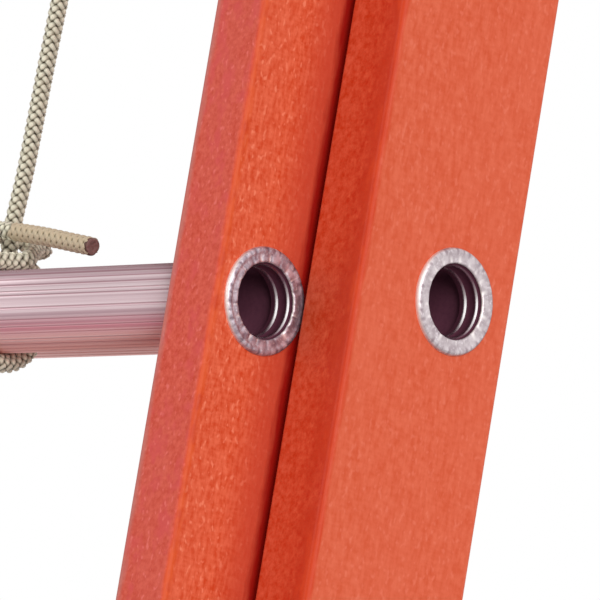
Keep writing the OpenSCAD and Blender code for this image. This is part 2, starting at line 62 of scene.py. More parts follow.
def middle(node):
    low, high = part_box(node)
    return (low + high) / 2


RUNGS = sum(node.startswith("base_rung_") for node in nodes)


def ring_places(node):
    """Axis Y, lowest axis Z and pitch of a section's crimped rings."""
    low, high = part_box(node)
    radius = (high.y - low.y) / 2
    pitch = (high.z - low.z - 2 * radius) / (RUNGS - 1)
    return {"y": (low.y + high.y) / 2, "z": low.z + radius, "pitch": pitch}


SECTIONS = {
    "base": ring_places("base_ferrules"),
    "fly": ring_places("fly_ferrules"),
}
for name, section in SECTIONS.items():
    low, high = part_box(name + "_rail_right")
    section["rail_x"] = high.x
    section["rail_front"] = low.y
    section["flange"] = high.x - low.x
    section["rung_end"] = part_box(name + "_rung_1")[1].x


def rung_z(section, i):
    return SECTIONS[section]["z"] + i * SECTIONS[section]["pitch"]


# ---- rung section, as in the CAD ----

RUNG_TILT = math.radians(14.5)
RUNG_R = 18 * MM
RUNG_TOP = 17 * MM
RUNG_CORNER = 7 * MM


def rung_outline(grow, step):
    """Closed outline of a rung round its own axis, in Y and Z, tilted as the rungs are.

    It starts at the middle of the side that faces the front, and goes down and round.
    """
    points = []

    def arc(centre, radius, start, end):
        count = max(2, int(abs(end - start) * radius / step))
        for k in range(count):
            a = start + (end - start) * k / count
            points.append((centre[0] + radius * math.cos(a), centre[1] + radius * math.sin(a)))

    def line(a, b):
        count = max(2, int(math.dist(a, b) / step))
        for k in range(count):
            points.append((a[0] + (b[0] - a[0]) * k / count, a[1] + (b[1] - a[1]) * k / count))

    side = RUNG_R + grow
    shoulder = RUNG_TOP - RUNG_CORNER
    inset = RUNG_R - RUNG_CORNER
    corner = RUNG_CORNER + grow
    arc((0, 0), side, math.pi, 2 * math.pi)
    line((side, 0), (side, shoulder))
    arc((inset, shoulder), corner, 0, math.pi / 2)
    line((inset, RUNG_TOP + grow), (-inset, RUNG_TOP + grow))
    arc((-inset, shoulder), corner, math.pi / 2, math.pi)
    line((-side, shoulder), (-side, 0))
    c, s = math.cos(RUNG_TILT), math.sin(RUNG_TILT)
    return [(y * c - z * s, y * s + z * c) for y, z in points]


# ---- camera ----

SHOWN_RUNG = 1                       # the fly rung in the picture, counted from 0
CAMERA_LENS = 420                    # mm, on a sensor 36 mm wide
CAMERA_DISTANCE = 2.8536
CAMERA_RIGHT = Vector((0.7035, 0.6920, 0.1613))
CAMERA_UP = Vector((0.0274, -0.2532, 0.9670))
CAMERA_SHIFT = (0.03408, -0.00652)   # from the aimed corner to the picture's middle


def make_camera():
    data = bpy.data.cameras.new("camera")
    data.lens = CAMERA_LENS
    data.sensor_width = 36
    camera = bpy.data.objects.new("camera", data)
    bpy.context.scene.collection.objects.link(camera)
    fly = SECTIONS["fly"]
    aim = Vector((fly["rail_x"], fly["rail_front"], rung_z("fly", SHOWN_RUNG)))
    right = CAMERA_RIGHT.normalized()
    back = right.cross(CAMERA_UP).normalized()
    up = back.cross(right)
    place = aim + back * CAMERA_DISTANCE + right * CAMERA_SHIFT[0] + up * CAMERA_SHIFT[1]
    rows = [[right[k], up[k], back[k], place[k]] for k in range(3)]
    camera.matrix_world = Matrix(rows + [[0, 0, 0, 1]])
    data.clip_start = 0.1
    data.clip_end = 50
    bpy.context.scene.camera = camera


# ---- node helpers for materials ----

class Shader:
    """A material with its node tree, built by short calls."""

    def __init__(self, name):
        self.material = bpy.data.materials.new(name)
        self.material.use_nodes = True
        self.tree = self.material.node_tree
        self.tree.nodes.clear()
        self.out = self.add("ShaderNodeOutputMaterial")
        self.surface = self.add("ShaderNodeBsdfPrincipled")
        self.link(self.surface.outputs["BSDF"], self.out.inputs["Surface"])
        self.coords = self.add("ShaderNodeTexCoord")

    def add(self, kind, **settings):
        node = self.tree.nodes.new(kind)
        for key, value in settings.items():
            setattr(node, key, value)
        return node

    def link(self, source, target):
        self.tree.links.new(source, target)

    def feed(self, socket, value):
        """A link if value is a socket, else a plain setting."""
        if isinstance(value, bpy.types.NodeSocket):
            self.link(value, socket)
        else:
            socket.default_value = value

    def maths(self, operation, a, b=0.0):
        node = self.add("ShaderNodeMath", operation=operation)
        self.feed(node.inputs[0], a)
        self.feed(node.inputs[1], b)
        return node.outputs[0]

    def stretched(self, scale, source=None):
        node = self.add("ShaderNodeMapping")
        self.link(source or self.coords.outputs["Object"], node.inputs["Vector"])
        node.inputs["Scale"].default_value = scale
        return node.outputs["Vector"]

    def noise(self, scale, detail=2.0, rough=0.5, source=None):
        """Noise whose grains are about 1 / scale metres along each axis."""
        node = self.add("ShaderNodeTexNoise")
        node.inputs["Scale"].default_value = 1.0
        node.inputs["Detail"].default_value = detail
        node.inputs["Roughness"].default_value = rough
        self.link(self.stretched(scale, source), node.inputs["Vector"])
        return node.outputs["Fac"]

    def remap(self, value, low, high, to_low=0.0, to_high=1.0, smooth=False):
        node = self.add("ShaderNodeMapRange", clamp=True)
        if smooth:
            node.interpolation_type = "SMOOTHSTEP"
        self.feed(node.inputs["Value"], value)
        for key, number in (("From Min", low), ("From Max", high), ("To Min", to_low), ("To Max", to_high)):
            node.inputs[key].default_value = number
        return node.outputs["Result"]

    def mix(self, factor, a, b, blend="MIX"):
        node = self.add("ShaderNodeMix", data_type="RGBA", blend_type=blend)
        self.feed(node.inputs[0], factor)
        for socket, value in ((node.inputs[6], a), (node.inputs[7], b)):
            self.feed(socket, colour(value) if isinstance(value, str) else value)
        return node.outputs[2]

    def patches(self, tone, field, low, high, most, shade):
        """The tone, turned to the shade as the field goes from low to high, at most by a share."""
        return self.mix(self.remap(field, low, high, 0.0, most), tone, shade)

    def band(self, field, rise, fall):
        """1 between the two ranges, in which it rises from 0 and falls back to it."""
        return self.maths("MULTIPLY", self.remap(field, *rise), self.remap(field, *fall, 1.0, 0.0))

    def split(self, vector):
        node = self.add("ShaderNodeSeparateXYZ")
        self.link(vector, node.inputs[0])
        return node.outputs

    def bump(self, height, distance, strength=1.0, normal=None):
        node = self.add("ShaderNodeBump")
        node.inputs["Strength"].default_value = strength
        node.inputs["Distance"].default_value = distance
        self.link(height, node.inputs["Height"])
        if normal is not None:
            self.link(normal, node.inputs["Normal"])
        return node.outputs["Normal"]

    def bevel(self, radius):
        node = self.add("ShaderNodeBevel", samples=4)
        node.inputs["Radius"].default_value = radius
        return node.outputs["Normal"]

    def finish(self, **values):
        """Sets or links the shader's own sockets, named with _ for spaces."""
        for key, value in values.items():
            self.feed(self.surface.inputs[key.replace("_", " ")], value)
        return self.material


def linear(channel):
    return channel / 12.92 if channel <= 0.04045 else ((channel + 0.055) / 1.055) ** 2.4


def colour(code):
    """Linear RGBA from a hex code as a screen shows it."""
    return tuple(linear(int(code[k:k + 2], 16) / 255) for k in (0, 2, 4)) + (1.0,)


# ---- materials ----

# Colours of each section's fiberglass. A step is how far a tone strays, in levels of a hex code,
# fine is how fine the web's veil is, blotch and fleck are how much of those shows, and bare is how
# far the resin at the corner reaches over the web or the skin, in mm; -10 leaves none.
GLASS = {
    "base": {
        "web": "dc5e3c", "web_step": 10, "web_cloud": "e06647", "web_fleck": "ee8066",
        "skin": "ca3a13", "skin_step": 20, "skin_cloud": "d24424", "skin_fleck": "e2603a",
        "skin_blotch": "c0330f", "resin": "d0390c", "resin_dark": "cc380f",
        "fine": 430, "blotch": 0.3, "fleck": 0.35, "bare_web": 2.2, "bare_skin": -10,
    },
    "fly": {
        "web": "dc5731", "web_step": 22, "web_cloud": "e06040", "web_fleck": "f68868",
        "skin": "d14c34", "skin_step": 18, "skin_cloud": "d15c4e", "skin_fleck": "e87066",
        "skin_blotch": "d4484a", "resin": "dc521e", "resin_dark": "c83a0c",
        "fine": 540, "blotch": 0.55, "fleck": 0.7, "bare_web": 3.0, "bare_skin": 0.2,
    },
}
CORNER_WANDER = 1.1 * MM               # how far the bare resin's edge strays
# Painted shade on the fly's web, by depth behind its front face: it darkens towards the base rails'
# flanges, and has a dark painted shadow band beside them
WEB_SHADE = (24 * MM, 42 * MM)
WEB_SHADOW_BAND = ((43.6 * MM, 47 * MM), (53 * MM, 54.5 * MM))
# Painted highlight along the rounded free edge of the fly's flange
FLY_EDGE_HIGHLIGHT = (4.5 * MM, 0.5 * MM)         # pale edge of the fly's flange, from where it ends
# Painted tones on the base's flange, by distance in from its outer corner: paler towards its free
# edge, as painted light, and darker and redder near the corner, with a ragged streak
SKIN_PAINTED_LIGHT = (11 * MM, 27 * MM)
SKIN_RED = (1 * MM, 8 * MM)
SKIN_STREAK = ((0, 4 * MM), (6 * MM, 12 * MM))
STREAK_WANDER = 5.5 * MM


def shades(code, step):
    """The colour darker and lighter, least in red and most in blue, as hex codes."""
    levels = [int(code[k:k + 2], 16) for k in (0, 2, 4)]
    moves = (0.6 * step, step, 1.2 * step)

    def moved(way):
        return "".join(f"{round(min(255, max(0, v + way * m))):02x}" for v, m in zip(levels, moves))

    return moved(-1), moved(1)


def glass_fields(s, section):
    """The fiberglass's noises, and how far a point lies behind the rail's front and inside its side."""
    rail = SECTIONS[section]
    fine = GLASS[section]["fine"]
    place = s.split(s.coords.outputs["Object"])
    behind = s.maths("SUBTRACT", place[1], rail["rail_front"])
    inside = s.maths("SUBTRACT", rail["rail_x"], s.maths("ABSOLUTE", place[0]))
    ragged = s.noise((260, 260, 45), 3.0, 0.6)
    wander = s.remap(ragged, 0.3, 0.7, -CORNER_WANDER, CORNER_WANDER)
    upright = s.noise((fine, fine, fine * 0.38), 2.0, 0.55)
    across = s.noise((fine * 0.4, fine * 0.4, fine * 1.3), 2.0, 0.55)
    return {
        "cloud": s.noise((28, 28, 11), 3.0),
        "mottle": s.noise((470, 470, 420), 3.0, 0.6),
        "flecks": s.noise((500, 500, 340), 1.0, 0.4),
        "blotches": s.noise((170, 170, 110), 2.0, 0.5),
        "weave": s.maths("ADD", s.maths("MULTIPLY", upright, 0.66), s.maths("MULTIPLY", across, 0.34)),
        "depth": s.maths("ADD", behind, wander),
        "inward": s.maths("ADD", inside, wander),
    }


def glass_web(s, section, fields):
    """The web's tone: a woven veil, and blotched bare resin at its front corner."""
    look = GLASS[section]
    depth = fields["depth"]
    tone = s.mix(s.remap(fields["weave"], 0.36, 0.64), *shades(look["web"], look["web_step"]))
    tone = s.patches(tone, fields["cloud"], 0.4, 0.7, 0.35, look["web_cloud"])
    tone = s.patches(tone, fields["flecks"], 0.61, 0.73, look["fleck"], look["web_fleck"])
    if section == "fly":
        # Painted shade towards the base rails' flanges, and a dark painted shadow band beside them
        tone = s.patches(tone, depth, *WEB_SHADE, 0.85, "c64730")
        tone = s.mix(s.band(depth, *WEB_SHADOW_BAND), tone, "9c1007")
    resin = s.mix(s.remap(fields["blotches"], 0.48, 0.64), look["resin"], look["resin_dark"])
    edge = look["bare_web"]
    bare = s.remap(depth, (edge - 1.2) * MM, (edge + 1.2) * MM, 0.85, 0.0)
    return s.mix(bare, tone, resin)


def glass_skin(s, section, fields):
    """The flanges' tone: a plain mottled skin, and what each section's flange shows across its width."""
    look = GLASS[section]
    inward = fields["inward"]
    mottled = s.remap(fields["mottle"], 0.3, 0.7)
    tone = s.mix(mottled, *shades(look["skin"], look["skin_step"]))
    tone = s.patches(tone, fields["cloud"], 0.4, 0.7, 0.35, look["skin_cloud"])
    tone = s.patches(tone, fields["blotches"], 0.5, 0.68, look["blotch"], look["skin_blotch"])
    tone = s.patches(tone, fields["flecks"], 0.62, 0.74, look["fleck"], look["skin_fleck"])
    edge = look["bare_skin"]
    tone = s.mix(s.remap(inward, (edge - 1) * MM, (edge + 2) * MM, 1.0, 0.0), tone, look["resin"])
    if section == "fly":
        flange = SECTIONS[section]["flange"]
        # Painted highlight along the flange's free edge
        return s.patches(tone, inward, flange - FLY_EDGE_HIGHLIGHT[0], flange - FLY_EDGE_HIGHLIGHT[1], 0.65, "b98078")
    # Painted light: paler towards the flange's free edge
    tone = s.mix(s.remap(inward, *SKIN_PAINTED_LIGHT), tone, s.mix(mottled, *shades("df532f", look["skin_step"])))
    ragged = s.noise((110, 110, 45), 3.0, 0.6)
    strayed = s.maths("ADD", inward, s.remap(ragged, 0.3, 0.7, -STREAK_WANDER, STREAK_WANDER))
    tone = s.mix(s.remap(strayed, *SKIN_RED, 0.8, 0.0), tone, "cf3d0c")
    return s.mix(s.maths("MULTIPLY", s.band(strayed, *SKIN_STREAK), 0.6), tone, "bd2b02")


def fiberglass(section):
    """Pultruded fiberglass: a woven web and plain flanges."""
    s = Shader("fiberglass_" + section)
    fields = glass_fields(s, section)
    web = s.remap(s.maths("ABSOLUTE", s.split(s.coords.outputs["Normal"])[0]), 0.55, 0.8)
    return s.finish(
        Base_Color=s.mix(web, glass_skin(s, section, fields), glass_web(s, section, fields)),
        Roughness=s.remap(fields["mottle"], 0.3, 0.7, 0.42, 0.55),
        Specular_IOR_Level=0.25,
        Normal=s.bump(s.mix(web, fields["mottle"], fields["weave"]), 0.00012, 0.5, s.bevel(0.0008)),
    )


# Painted light and reflection on a rung, by height above its middle in mm: bright and pink below, a
# painted reflection of the red rails that bright metal reflects and painted light from below, and
# darker on the shoulders under the tread
TONES_REACH = 20                       # mm each way from the middle
RUNG_TONES = [(-17, "ffb0a6"), (-12, "ffc4c0"), (-8, "e48696"), (-3, "cbaab1"), (8, "d8c4c8"), (16, "98787f")]


def rung_metal():
    """Extruded aluminium with die lines along the rung, painted light and reflection by height and painted
    shade in its grooves.
    """
    s = Shader("rung_metal")
    height = s.add("ShaderNodeAttribute", attribute_name="height").outputs["Fac"]
    groove = s.add("ShaderNodeAttribute", attribute_name="groove").outputs["Fac"]
    tones = s.add("ShaderNodeValToRGB")
    stops = tones.color_ramp.elements
    for k, (place, code) in enumerate(RUNG_TONES):
        stop = stops[k] if k < 2 else stops.new(1.0)
        stop.position = (place + TONES_REACH) / (2 * TONES_REACH)
        stop.color = colour(code)
    share = s.maths("ADD", s.maths("MULTIPLY", height, 0.5 / TONES_REACH), 0.5)
    s.link(share, tones.inputs["Fac"])
    fine = s.noise((0.8, 2400, 2400), 3.0, 0.7)
    drawn = s.noise((0.8, 620, 620), 2.0, 0.5)
    tone = s.mix(s.remap(drawn, 0.35, 0.5, 0.45, 0.0), tones.outputs["Color"], "a9868f")
    tone = s.patches(tone, drawn, 0.5, 0.65, 0.4, "f4e6e8")
    tone = s.mix(s.remap(fine, 0.35, 0.6, 0.25, 0.0), tone, "a58c94")
    tone = s.patches(tone, fine, 0.5, 0.75, 0.35, "f4ecee")
    # Painted shade: darker in the grooves
    tone = s.mix(s.remap(groove, 0.2, 1.0, 0.0, 0.6), tone, "c08c96", "MULTIPLY")
    rough = s.remap(fine, 0.3, 0.7, 0.38, 0.5)
    return s.finish(Base_Color=tone, Metallic=0.6, Roughness=rough, Normal=s.bump(fine, 0.00004, 0.4))


def crimp_metal(name, dark, light, rear, rear_shade):
    """Swaged aluminium, with a painted highlight where it faces the front and painted shade where it faces
    the rear.

    A ring's marks are, in order: how deep its dents with painted shade are, how deep its dents
    with a painted glint are, both 0 to 1, and how far it is behind the rung's axis, in mm. The last
    argument is how much painted shade the last of them gives.
    """
    s = Shader(name)
    facing = s.split(s.coords.outputs["Normal"])
    marks = s.split(s.add("ShaderNodeAttribute", attribute_name="marks").outputs["Vector"])
    scuff = s.noise((700, 700, 700), 4.0, 0.7)
    cloud = s.noise((260, 260, 260), 3.0)
    tone = s.mix(s.remap(cloud, 0.35, 0.65), dark, light)
    tone = s.patches(tone, scuff, 0.54, 0.68, 0.75, "f0e6ea")
    # Painted shade in the dark dents, and a painted glint on the bright ones
    tone = s.patches(tone, marks[0], 0.1, 0.6, 0.7, rear)
    tone = s.patches(tone, marks[1], 0.2, 0.8, 0.9, "fff6f4")
    # Painted highlight where it faces the front; painted shade where it faces the rear and, by the last
    # argument, behind the rung's axis
    tone = s.patches(tone, facing[1], -0.45, -0.8, 0.85, "fbeee8")
    tone = s.patches(tone, facing[1], 0.10, 0.60, 0.8, rear)
    tone = s.patches(tone, marks[2], 15.0, 19.5, rear_shade, rear)
    return s.finish(
        Base_Color=tone,
        Metallic=0.6,
        Roughness=s.remap(scuff, 0.3, 0.7, 0.3, 0.45),
        Normal=s.bump(scuff, 0.00012, 0.5),
    )


def bore_bright():
    """Shiny beads inside a rung's end, with a painted highlight, and painted shade towards their tops and
    bottoms.
    """
    s = Shader("bore_bright")
    facing = s.split(s.coords.outputs["Normal"])
    cloud = s.noise((500, 500, 500), 2.0)
    tone = s.mix(s.remap(s.maths("ABSOLUTE", facing[2]), 0.12, 0.6), "fffafa", "7a5a66")
    return s.finish(Base_Color=tone, Metallic=0.75, Roughness=s.remap(cloud, 0.3, 0.7, 0.18, 0.26))


def bore_dark():
    """Unfinished metal inside a rung, painted dark as the shade of the unlit bore."""
    s = Shader("bore_dark")
    cloud = s.noise((500, 500, 500), 3.0, 0.6)
    tone = s.mix(cloud, "52293a", "663848")
    return s.finish(
        Base_Color=tone,
        Roughness=0.75,
        Specular_IOR_Level=0.1,
        Normal=s.bump(cloud, 0.00005, 0.3),
    )


def brushed(name, dark, light, rough, stretch=(60, 60, 1500)):
    """Metal with grain along one axis and rounded edges."""
    s = Shader(name)
    grain = s.noise(stretch, 3.0, 0.7)
    cloud = s.noise((90, 90, 90), 3.0)
    tone = s.mix(s.remap(grain, 0.3, 0.7), dark, light)
    tone = s.patches(tone, cloud, 0.5, 0.8, 0.35, dark)
    return s.finish(
        Base_Color=tone,
        Metallic=0.85,
        Roughness=s.remap(grain, 0.3, 0.7, rough - 0.07, rough + 0.1),
        Normal=s.bump(grain, 0.00005, 0.4, s.bevel(0.0005)),
    )


def cast_metal():
    """Cast aluminium with a fine sandy grain."""
    s = Shader("cast_metal")
    grain = s.noise((900, 900, 900), 3.0, 0.6)
    cloud = s.noise((70, 70, 70), 3.0)
    tone = s.mix(s.remap(cloud, 0.35, 0.65), "96969a", "b4b4b6")
    tone = s.patches(tone, grain, 0.55, 0.75, 0.5, "cfcfd0")
    return s.finish(
        Base_Color=tone,
        Metallic=0.75,
        Roughness=s.remap(grain, 0.3, 0.7, 0.42, 0.6),
        Normal=s.bump(grain, 0.00018, 0.5, s.bevel(0.0007)),
    )


def moulded(name, dark, light, rough, grain_size=1200, depth=0.0001):
    """Moulded plastic or rubber with a fine stipple."""
    s = Shader(name)
    grain = s.noise((grain_size,) * 3, 3.0, 0.6)
    dust = s.noise((45, 45, 45), 4.0, 0.6)
    tone = s.mix(s.remap(grain, 0.3, 0.7), dark, light)
    tone = s.patches(tone, dust, 0.55, 0.8, 0.25, "6b6560")
    return s.finish(
        Base_Color=tone,
        Roughness=s.remap(grain, 0.3, 0.7, rough - 0.06, rough + 0.08),
        Specular_IOR_Level=0.4,
        Normal=s.bump(grain, depth, 0.5, s.bevel(0.0006)),
    )


def rope_yarn(name, low, high, relief_range):
    """Synthetic yarn whose fibres run along each strand of the braid, with painted shade between the strands.
    """
    s = Shader(name)
    along = s.add("ShaderNodeAttribute", attribute_name="strand")
    fibres = s.noise((4.5, 700, 3), 3.0, 0.6, along.outputs["Vector"])
    cloud = s.noise((160, 160, 160), 3.0)
    relief = s.add("ShaderNodeAttribute", attribute_name="relief").outputs["Fac"]
    # Painted shade: darker where a strand lies low, in the crevices between the strands
    tone = s.mix(s.remap(relief, *relief_range), low, high)
    tone = s.patches(tone, fibres, 0.45, 0.75, 0.3, "a2977a")
    tone = s.patches(tone, cloud, 0.35, 0.7, 0.2, "cbc0a0")
    height = s.maths("ADD", fibres, s.maths("MULTIPLY", cloud, 0.3))
    return s.finish(
        Base_Color=tone,
        Roughness=0.72,
        Specular_IOR_Level=0.25,
        Sheen_Weight=0.25,
        Sheen_Roughness=0.4,
        Normal=s.bump(height, 0.00022, 0.7),
    )


def rope_core():
    """The yarn that shows between the strands, painted dark as shade."""
    s = Shader("rope_core")
    cloud = s.noise((900, 900, 900), 3.0)
    tone = s.mix(cloud, "4a4030", "7a6d52")
    return s.finish(Base_Color=tone, Roughness=0.9, Specular_IOR_Level=0.1, Normal=s.bump(cloud, 0.0002, 0.5))


def rope_burnt():
    """The fused end of the cut rope: brown, and paler where it faces +X, as the free end's cut does."""
    s = Shader("rope_burnt")
    cloud = s.noise((700, 700, 700), 4.0, 0.6)
    clouded = s.remap(cloud, 0.3, 0.7)
    face = s.remap(s.split(s.coords.outputs["Normal"])[0], 0.35, 0.8)
    return s.finish(
        Base_Color=s.mix(face, s.mix(clouded, "3a1c14", "6a4334"), s.mix(clouded, "7a524c", "94706c")),
        Roughness=s.remap(cloud, 0.3, 0.7, 0.35, 0.7),
        Specular_IOR_Level=0.4,
        Normal=s.bump(cloud, 0.0003, 0.6),
    )


MATERIALS = {
    "fiberglass_base": fiberglass("base"),
    "fiberglass_fly": fiberglass("fly"),
    "rung_metal": rung_metal(),
    "crimp_metal_base": crimp_metal("crimp_metal_base", "b4a5aa", "d6cacd", "8f7a82", 0.0),
    "crimp_metal_fly": crimp_metal("crimp_metal_fly", "907984", "d0c1cb", "6f5561", 0.75),
    "bore_dark": bore_dark(),
    "bore_bright": bore_bright(),
    "bracket_metal": brushed("bracket_metal", "9d9da1", "c6c6c8", 0.38),
    "cast_metal": cast_metal(),
    "hook_steel": brushed("hook_steel", "8a8c90", "b2b4b8", 0.34, (70, 1200, 90)),
    "flipper_steel": brushed("flipper_steel", "a98a4a", "d0b878", 0.32, (1200, 90, 90)),
    "bolt_steel": brushed("bolt_steel", "85888c", "adb0b4", 0.3, (900, 90, 900)),
    "spring_steel": brushed("spring_steel", "5a5a5e", "8c8c90", 0.3, (900, 900, 900)),
    "rivet_metal": brushed("rivet_metal", "a9a9ad", "cdcdd0", 0.33, (700, 700, 700)),
    "pad_rubber": moulded("pad_rubber", "161616", "262524", 0.72, 700, 0.0002),
    "cap_plastic": moulded("cap_plastic", "121212", "1f1f20", 0.5),
    "pulley_plastic": moulded("pulley_plastic", "1a1a1b", "2a2a2c", 0.42),
    "rope_strand": rope_yarn("rope_strand", "3c3320", "fffbe4", (0.42, 0.82)),
    "rope_worn": rope_yarn("rope_worn", "6a5f40", "d2bfa2", (0.42, 0.78)),
    "rope_core": rope_core(),
    "rope_burnt": rope_burnt(),
}


def dress_cad_nodes():
    """Every CAD node takes the finish of its record slot; each section's rails have their own."""
    for part in frame["record"]["subparts"]:
        node = part["node"]
        slot = part["material_slot"]
        if slot in ("fiberglass", "crimp_metal"):
            slot += "_" + node.split("_")[0]
        if slot == "rope":
            slot = "rope_strand"
        mesh = nodes[node].data
        mesh.materials.clear()
        mesh.materials.append(MATERIALS[slot])


# ---- mesh helpers ----

def add_piece(name, vertices, faces, materials, face_slots=None, smooth=True):
    """A new object in the scene; face_slots gives each face's place in the list of materials."""
    mesh = bpy.data.meshes.new(name)
    mesh.from_pydata([tuple(map(float, v)) for v in vertices], [], faces)
    for material in materials:
        mesh.materials.append(MATERIALS[material])
    if face_slots is not None:
        mesh.polygons.foreach_set("material_index", np.array(face_slots, np.int32))
    mesh.polygons.foreach_set("use_smooth", [smooth] * len(mesh.polygons))
    mesh.update()
    piece = bpy.data.objects.new(name, mesh)
    bpy.context.scene.collection.objects.link(piece)
    return piece


def point_values(piece, name, kind, key, values):
    """Gives each vertex a value that the materials read by its name."""
    data = piece.data.attributes.new(name, kind, "POINT")
    data.data.foreach_set(key, np.array(values, np.float32).ravel())


def grid_faces(rings, around, start=0):
    """Quads between rings of vertices, each ring closed on itself."""
    faces = []
    for i in range(rings - 1):
        a = start + i * around
        b = a + around
        for k in range(around):
            n = (k + 1) % around
            faces.append((a + k, a + n, b + n, b + k))
    return faces


def tube_faces(rings, around, start):
    """Faces of a closed tube: its side, then its two ends."""
    first = [start + k for k in range(around)]
    last = [k + (rings - 1) * around for k in first]
    return grid_faces(rings, around, start) + [tuple(first[::-1]), tuple(last)]


# ---- rungs ----

RUNG_WALL = 1.8 * MM
PROFILE_STEP = 0.14 * MM
GROOVE_HALF = 0.42 * MM
GROOVE_DEPTH = 0.10 * MM
SIDE_GROOVES = [0.7, 5.9, 7.6, 10.2, 12.6, 14.7]      # mm above the axis on each side
UNDER_GROOVES = [-14, -24, -34, -44, -54, -64, -74]   # degrees below level, both ways
TREAD_GROOVES = [-9, -7, -5, -3, -1, 1, 3, 5, 7, 9]   # mm from the middle of the tread


def untilt(point):
    """A point of the outline, turned back by the rung's tilt."""
    c, s = math.cos(RUNG_TILT), math.sin(RUNG_TILT)
    return (point[0] * c + point[1] * s, -point[0] * s + point[1] * c)


def groove_depth(point):
    """How deep the extrusion's grooves cut at a point of the tilted outline."""
    y, z = untilt(point)
    if z > RUNG_TOP - 0.5 * MM and abs(y) < RUNG_R - RUNG_CORNER:
        distances = [abs(y / MM - g) for g in TREAD_GROOVES]
    elif z > -1 * MM:
        distances = [abs(z / MM - g) for g in SIDE_GROOVES]
    else:
        angle = math.degrees(math.atan2(z, abs(y)))
        distances = [math.radians(abs(angle - g)) * RUNG_R / MM for g in UNDER_GROOVES]
    near = min(distances) * MM / GROOVE_HALF
    return GROOVE_DEPTH * max(0.0, 1 - near * near)


def rung_profile():
    """Grooved outline, its inner wall and how deep it is cut, 0 to 1, point for point."""
    fine = rung_outline(0.0, PROFILE_STEP)
    count = len(fine)
    outer, inner, cut = [], [], []
    for k, point in enumerate(fine):
        ahead, behind = fine[(k + 2) % count], fine[k - 2]
        along = Vector((ahead[0] - behind[0], ahead[1] - behind[1])).normalized()
        out = Vector((along.y, -along.x))
        depth = groove_depth(point)
        outer.append((point[0] - out.x * depth, point[1] - out.y * depth))
        inner.append((point[0] - out.x * RUNG_WALL, point[1] - out.y * RUNG_WALL))
        cut.append(depth / GROOVE_DEPTH)
    return outer, inner, cut


def ribbed_rung(section, i, profile):
    """One rung: its grooved outside, its dark bore and the rims that join them."""
    outer, inner, cut = profile
    end = SECTIONS[section]["rung_end"]
    y, z = SECTIONS[section]["y"], rung_z(section, i)
    around = len(outer)
    bore = 2 * around
    vertices = [(x, y + p[0], z + p[1]) for x in (-end, end) for p in outer]
    vertices += [(x, y + p[0], z + p[1]) for x in (end, -end) for p in inner]
    faces = grid_faces(2, around) + grid_faces(2, around, bore)
    slots = [0] * around + [1] * around
    for a, b in ((0, bore + around), (around, bore)):
        rim = [(a + k, a + (k + 1) % around, b + (k + 1) % around, b + k) for k in range(around)]
        faces += [f[::-1] for f in rim] if a == 0 else rim
        slots += [0] * around
    name = f"{section}_rung_{i + 1}"
    piece = add_piece(name + "_ribbed", vertices, faces, ["rung_metal", "bore_dark"], slots)
    # Height above the rung's middle, square to its tread, in mm
    heights = [untilt((v[1] - y, v[2] - z))[1] / MM for v in vertices]
    point_values(piece, "height", "FLOAT", "value", heights)
    point_values(piece, "groove", "FLOAT", "value", cut * 2 + [0.0] * (2 * around))
    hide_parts(name)
    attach(piece, section)


def make_rungs():
    profile = rung_profile()
    for section in SECTIONS:
        for i in range(RUNGS):
            ribbed_rung(section, i, profile)


# ---- crimped rings on the rung ends ----

RING_STEPS = 216
# Radius and height above the rail's face, in mm: the rolled rim and face, then down the bore
RING_FACE = [
    (22.55, 0.0), (22.50, 0.5), (22.3, 1.1), (21.95, 1.6), (21.4, 1.95), (20.8, 2.08), (20.2, 1.98),
    (19.7, 1.82), (19.0, 1.76), (18.2, 1.76), (17.4, 1.8), (16.8, 1.82), (16.3, 1.68), (16.0, 1.35),
]
BORE_WALL = [
    (15.9, 0.9), (15.88, 0.2), (15.85, -0.2), (15.45, -0.7), (15.0, -1.2), (14.75, -1.6), (14.9, -2.2),
    (15.15, -2.6), (15.2, -6.0), (14.7, -6.6), (14.2, -7.2), (13.95, -7.6), (14.1, -8.4), (14.1, -10.0),
]
LIT_BORE = {3, 4, 9, 10}               # rows of BORE_WALL with a painted highlight below: two beads
# The crimping jaws leave teeth on the inner rows of the face and ticks on the outer ones: how many
# round the ring, the row they are deepest on, and over how many rows they fade
TEETH = {"count": 21, "row": 11, "fade": 5.5}
TICKS = {"count": 38, "row": 4, "fade": 4.5}
CRIMP_DEPTH = {"base": 0.20, "fly": 0.42}    # mm, of a tooth
TICK_SHARE = 0.6                       # a tick's depth, as a share of a tooth's
SPREAD_SHARE = 0.6                     # how far a dent spreads outwards, as a share of its depth
# Painted glints on the crimp teeth
BRIGHT_ARCS = 7                        # on the fly's rings the teeth are bright on these arcs only
LEFT_CHANCE, TICK_CHANCE = 20, 40      # added to a ring's number for its own unevenness


def pressed(angle, count, index):
    """How deep a jaw's mark is at an angle, 0 to 1: narrow dents, uneven in width and place."""
    turns = angle / (2 * math.pi) * count
    slot = math.floor(turns)
    seed = math.sin((slot % count) * 12.9898 + index * 78.233) * 43758.5453
    chance = seed - math.floor(seed)
    offset = abs(turns - slot - 0.5 - 0.25 * (chance - 0.5))
    return (0.35 + 0.65 * chance) * max(0.0, 1 - offset / (0.14 + 0.16 * chance)) ** 0.7


def faded(jaws, row):
    return max(0.0, 1 - abs(row - jaws["row"]) / jaws["fade"])


